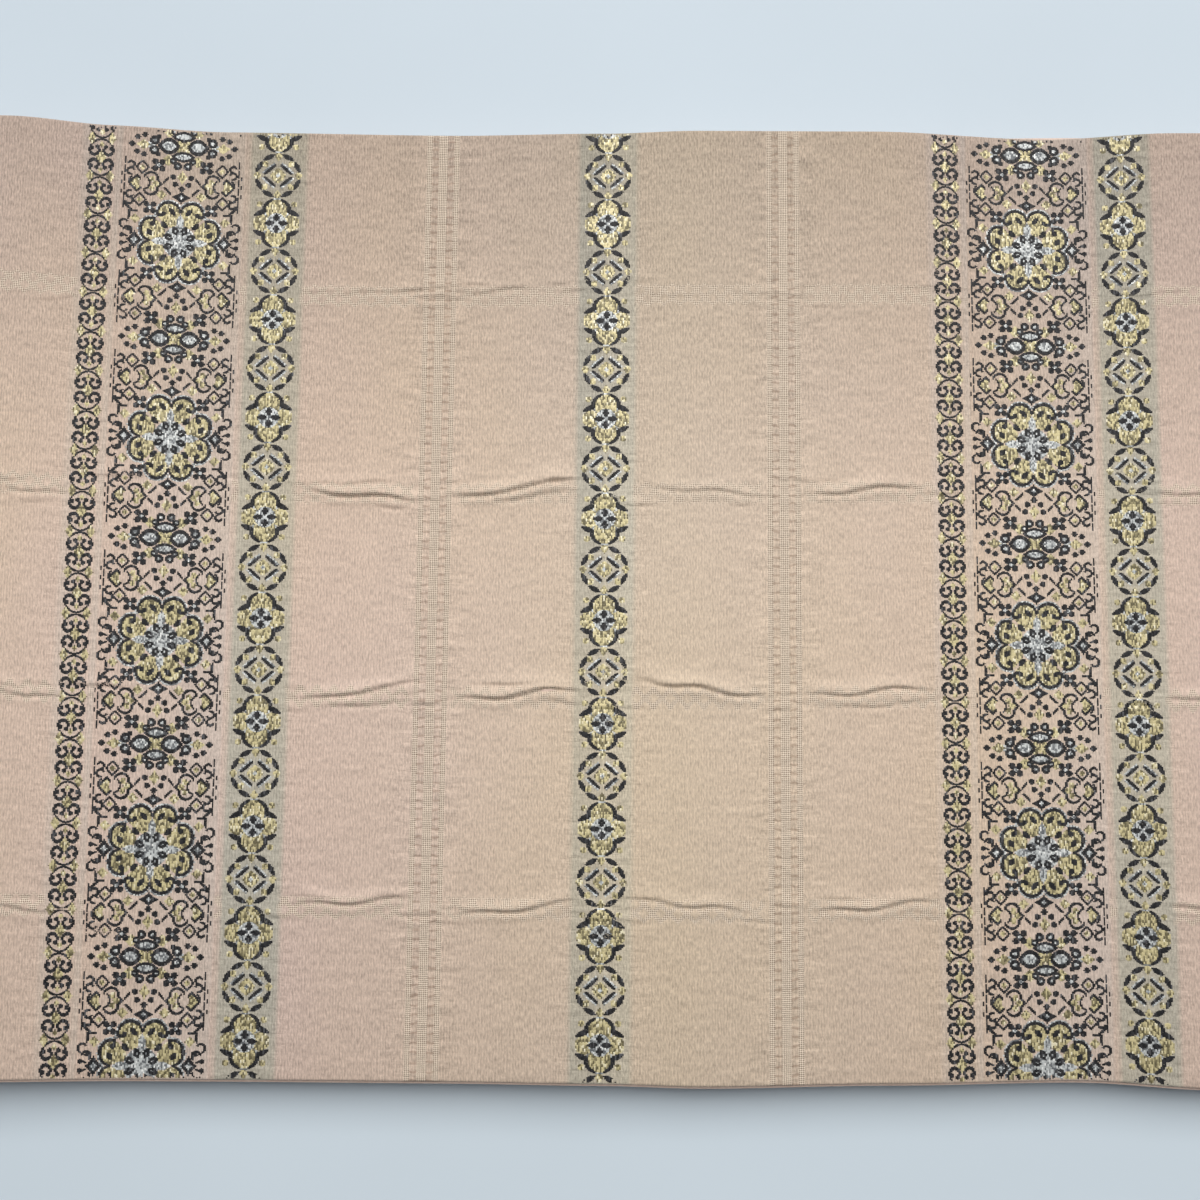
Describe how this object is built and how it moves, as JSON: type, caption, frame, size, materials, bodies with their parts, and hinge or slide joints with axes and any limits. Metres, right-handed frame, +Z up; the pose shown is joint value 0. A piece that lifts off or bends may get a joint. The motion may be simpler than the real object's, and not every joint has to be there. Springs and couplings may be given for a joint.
{
  "type": "obi sash",
  "caption": "Long double-faced kimono sash in patterned silk brocade, folded flat for storage.",
  "frame": {"origin": "centre of the folded sash's underside, on the surface it lies on", "axes": "+X along the sash, from the four nested bends towards the two free ends; +Y across its width; +Z up"},
  "size_m": [0.544, 0.3149, 0.019],
  "materials": {
    "brocade_ground": "fine ribbed silk satin with self-coloured woven bands",
    "plain_back": "plain silk with a soft sheen",
    "folded_cloth": "edges of folded silk",
    "charcoal_silk": "dark silk brocading weft",
    "gilt_weft": "flat gilt foil weft, glinting",
    "silver_weft": "flat silver foil weft, glinting"
  },
  "bodies": {
    "root": {"front_cloth": "brocade_ground", "back_cloth": "plain_back", "folded_layers": "folded_cloth"}
  },
  "joints": []
}
